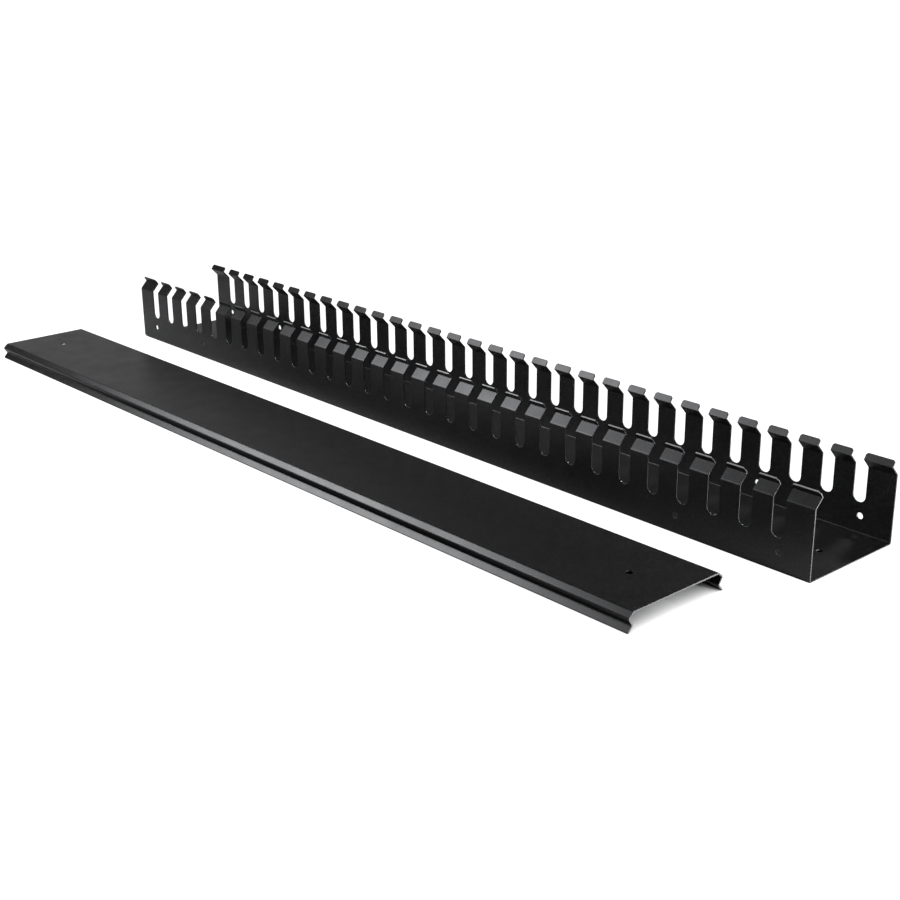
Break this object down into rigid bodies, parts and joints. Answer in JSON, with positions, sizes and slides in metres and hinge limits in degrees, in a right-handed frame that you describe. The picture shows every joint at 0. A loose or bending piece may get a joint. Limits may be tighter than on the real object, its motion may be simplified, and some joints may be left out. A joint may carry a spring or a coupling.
{
  "type": "vertical cable manager",
  "caption": "Long folded steel channel with rows of fingers and round-bottomed cable slots along both walls, and its folded clip-fit cover lying beside it.",
  "frame": {"origin": "middle of the channel's flat back face", "axes": "+X along the length, towards the end that is near the camera; +Y across the channel, away from the loose cover; +Z out of the back face, towards the finger tips"},
  "size_m": [0.9398, 0.2644, 0.0686],
  "materials": {
    "black_powder_coat": "satin"
  },
  "bodies": {
    "root": {"finger_channel": "black_powder_coat", "snap_cover": "black_powder_coat"}
  },
  "joints": []
}
